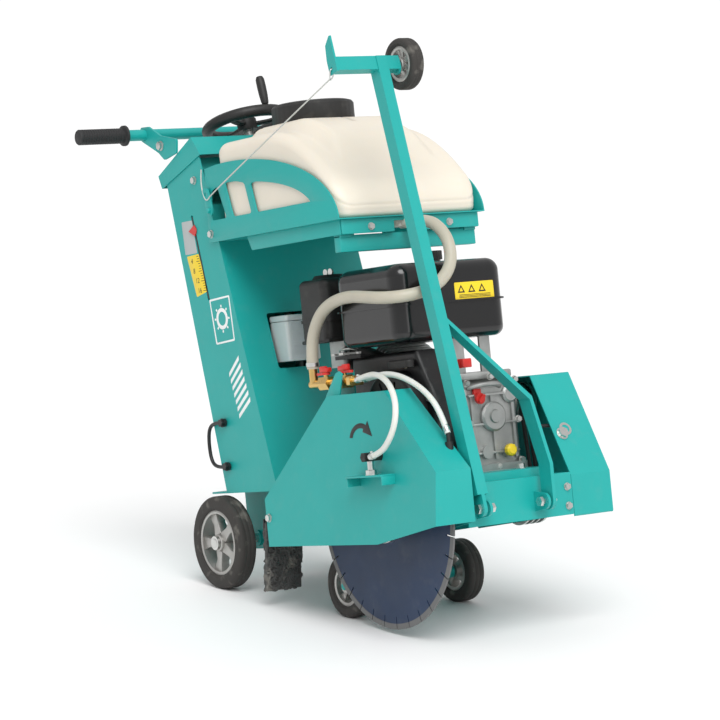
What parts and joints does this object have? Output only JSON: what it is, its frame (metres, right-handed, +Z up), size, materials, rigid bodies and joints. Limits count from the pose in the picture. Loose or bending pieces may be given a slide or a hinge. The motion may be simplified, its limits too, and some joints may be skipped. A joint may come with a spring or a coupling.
{
  "type": "walk-behind concrete saw",
  "caption": "Walk-behind concrete saw with engine, belt-driven blade under a guard, water tank, lift handwheel, swinging front wheels and a fold-up guide arm.",
  "frame": {"origin": "middle of the footprint of the bounding box, on the floor that the wheels stand on", "axes": "+X forwards, +Y to the machine's left, +Z up; the blade is on -Y"},
  "size_m": [1.1846, 0.7, 1.187],
  "materials": {
    "teal_paint": "semi-gloss powder coat",
    "solid_tyre": "worn solid rubber",
    "cast_aluminium": "as cast",
    "zinc_steel": "zinc plated",
    "dark_steel": "satin black",
    "black_plastic": "moulded",
    "black_gloss": "glossy",
    "flap_rubber": "ribbed rubber",
    "belt_rubber": "fabric faced",
    "tank_plastic": "translucent moulded polyethylene",
    "hose_beige": "smooth",
    "hose_white": "translucent tube",
    "rope_core": "braided cord",
    "brass_fitting": "machined",
    "red_plastic": "moulded",
    "blade_steel": "painted steel",
    "grip_rubber": "ribbed"
  },
  "bodies": {
    "chassis": {"chassis_frame": "teal_paint", "engine_base_plate": "teal_paint", "fixed_axles": "zinc_steel", "arbor_bearings": "cast_aluminium", "blade_guard": "teal_paint", "guard_flap": "flap_rubber", "belt_guard": "teal_paint", "column_shell": "teal_paint", "console_cover": "teal_paint", "tank_cradle": "teal_paint", "water_tank": "tank_plastic", "crankcase": "cast_aluminium", "cylinder": "cast_aluminium", "fan_housing": "dark_steel", "recoil_cover": "dark_steel", "fuel_tank": "black_gloss", "air_cleaner": "black_plastic", "carburettor": "cast_aluminium", "muffler": "dark_steel", "drive_belts": "belt_rubber", "valve_manifold": "brass_fitting", "jet_elbows": "black_plastic", "tool_box": "hose_white", "strap_loop": "dark_steel", "fasteners": "zinc_steel", "tank_hose": "hose_beige", "jet_hose_outer": "hose_white", "jet_hose_inner": "hose_white", "rope": "rope_core"},
    "arbor": {"arbor_shaft": "zinc_steel", "saw_blade": "blade_steel", "outer_flange": "zinc_steel"},
    "crank": {"crankshaft": "zinc_steel"},
    "rear_left_wheel": {"rear_left_rim": "cast_aluminium", "rear_left_tyre": "solid_tyre"},
    "rear_right_wheel": {"rear_right_rim": "cast_aluminium", "rear_right_tyre": "solid_tyre"},
    "undercarriage": {"undercarriage": "teal_paint"},
    "front_left_wheel": {"front_left_rim": "cast_aluminium", "front_left_tyre": "solid_tyre"},
    "front_right_wheel": {"front_right_rim": "cast_aluminium", "front_right_tyre": "solid_tyre"},
    "lift_spindle": {"lift_screw": "zinc_steel", "handwheel": "black_plastic"},
    "spinner_knob": {"handwheel_knob": "black_plastic"},
    "lift_nut": {"lift_nut": "zinc_steel"},
    "depth_pointer": {"depth_pointer": "red_plastic"},
    "guide_arm": {"guide_arm": "teal_paint"},
    "guide_wheel": {"guide_rim": "cast_aluminium", "guide_tyre": "solid_tyre"},
    "handlebar": {"handlebar": "teal_paint", "handlebar_grips": "grip_rubber"},
    "tank_lid": {"tank_lid": "black_plastic"},
    "fuel_cap": {"fuel_cap": "black_plastic"},
    "recoil_grip": {"recoil_grip": "black_plastic"},
    "throttle_lever": {"throttle_lever": "zinc_steel"},
    "choke_lever": {"choke_lever": "zinc_steel"},
    "engine_switch": {"engine_switch": "red_plastic"},
    "valve_lever_main": {"valve_lever_main": "red_plastic"},
    "valve_lever_jet": {"valve_lever_jet": "red_plastic"}
  },
  "joints": [
    {"name": "blade_spin", "type": "hinge", "parent": "chassis", "child": "arbor", "pos_m": [0.328, 0, 0.23473], "axis": [0, 1, 0], "continuous": true},
    {"name": "crank_spin", "type": "hinge", "parent": "chassis", "child": "crank", "pos_m": [0.2913, 0, 0.43143], "axis": [0, 1, 0], "continuous": true},
    {"name": "rear_left_wheel_spin", "type": "hinge", "parent": "chassis", "child": "rear_left_wheel", "pos_m": [-0.26433, 0.1805, 0.1], "axis": [0, 1, 0], "continuous": true},
    {"name": "rear_right_wheel_spin", "type": "hinge", "parent": "chassis", "child": "rear_right_wheel", "pos_m": [-0.26433, -0.1805, 0.1], "axis": [0, 1, 0], "continuous": true},
    {"name": "undercarriage_swing", "type": "hinge", "parent": "chassis", "child": "undercarriage", "pos_m": [-0.02346, 0, 0.17799], "axis": [0, 1, 0], "range_deg": [-33, 0]},
    {"name": "front_left_wheel_spin", "type": "hinge", "parent": "undercarriage", "child": "front_left_wheel", "pos_m": [0.15692, 0.136, 0.066], "axis": [0, 1, 0], "continuous": true},
    {"name": "front_right_wheel_spin", "type": "hinge", "parent": "undercarriage", "child": "front_right_wheel", "pos_m": [0.15692, -0.136, 0.066], "axis": [0, 1, 0], "continuous": true},
    {"name": "lift_spindle_turn", "type": "hinge", "parent": "chassis", "child": "lift_spindle", "pos_m": [-0.43617, 0, 0.98915], "axis": [-0.3722, 0, 0.9282], "range_deg": [0, 2180]},
    {"name": "spinner_knob_turn", "type": "hinge", "parent": "lift_spindle", "child": "spinner_knob", "pos_m": [-0.35449, 0, 1.0219], "axis": [-0.3722, 0, 0.9282], "continuous": true},
    {"name": "lift_nut_travel", "type": "slide", "parent": "chassis", "child": "lift_nut", "axis": [0.3722, 0, -0.9282], "range_m": [0, 0.0485]},
    {"name": "depth_pointer_travel", "type": "slide", "parent": "chassis", "child": "depth_pointer", "axis": [0.3496, 0, -0.9369], "range_m": [0, 0.1227]},
    {"name": "guide_arm_fold", "type": "hinge", "parent": "chassis", "child": "guide_arm", "pos_m": [0.57425, 0, 0.27813], "axis": [0, 1, 0], "range_deg": [0, 110]},
    {"name": "guide_wheel_spin", "type": "hinge", "parent": "guide_arm", "child": "guide_wheel", "pos_m": [0.24054, -0.056, 1.12791], "axis": [0, 1, 0], "continuous": true},
    {"name": "handlebar_tilt", "type": "hinge", "parent": "chassis", "child": "handlebar", "pos_m": [-0.49714, 0, 0.94525], "axis": [0, 1, 0], "range_deg": [-6, 8]},
    {"name": "tank_lid_turn", "type": "hinge", "parent": "chassis", "child": "tank_lid", "pos_m": [-0.17201, 0, 1.0151], "axis": [-0.1538, 0, 0.9881], "range_deg": [0, 270]},
    {"name": "fuel_cap_turn", "type": "hinge", "parent": "chassis", "child": "fuel_cap", "pos_m": [0.22613, 0.012, 0.73299], "axis": [-0.1538, 0, 0.9881], "range_deg": [0, 90]},
    {"name": "recoil_pull", "type": "slide", "parent": "chassis", "child": "recoil_grip", "axis": [0.9881, 0, 0.1538], "range_m": [0, 0.08], "stiffness_N_per_m": 60},
    {"name": "throttle_lever_turn", "type": "hinge", "parent": "chassis", "child": "throttle_lever", "pos_m": [0.14649, -0.11, 0.54247], "axis": [-0.1538, 0, 0.9881], "range_deg": [0, 45]},
    {"name": "choke_lever_turn", "type": "hinge", "parent": "chassis", "child": "choke_lever", "pos_m": [0.10301, -0.11, 0.5357], "axis": [-0.1538, 0, 0.9881], "range_deg": [0, 45]},
    {"name": "engine_switch_turn", "type": "hinge", "parent": "chassis", "child": "engine_switch", "pos_m": [0.42322, -0.004, 0.46816], "axis": [0.9881, 0, 0.1538], "range_deg": [0, 90]},
    {"name": "main_valve_turn", "type": "hinge", "parent": "chassis", "child": "valve_lever_main", "pos_m": [0.11859, -0.17, 0.50068], "axis": [-0.1538, 0, 0.9881], "range_deg": [0, 90]},
    {"name": "jet_valve_turn", "type": "hinge", "parent": "chassis", "child": "valve_lever_jet", "pos_m": [0.1838, -0.17, 0.51084], "axis": [0.1538, 0, -0.9881], "range_deg": [0, 90]}
  ],
  "couplings": [
    {"joint": "crank_spin", "follows": "blade_spin", "ratio": 1.3},
    {"joint": "lift_spindle_turn", "follows": "undercarriage_swing", "ratio": -66},
    {"joint": "lift_nut_travel", "follows": "undercarriage_swing", "m_per_rad": -0.08398},
    {"joint": "depth_pointer_travel", "follows": "undercarriage_swing", "m_per_rad": -0.2128}
  ]
}
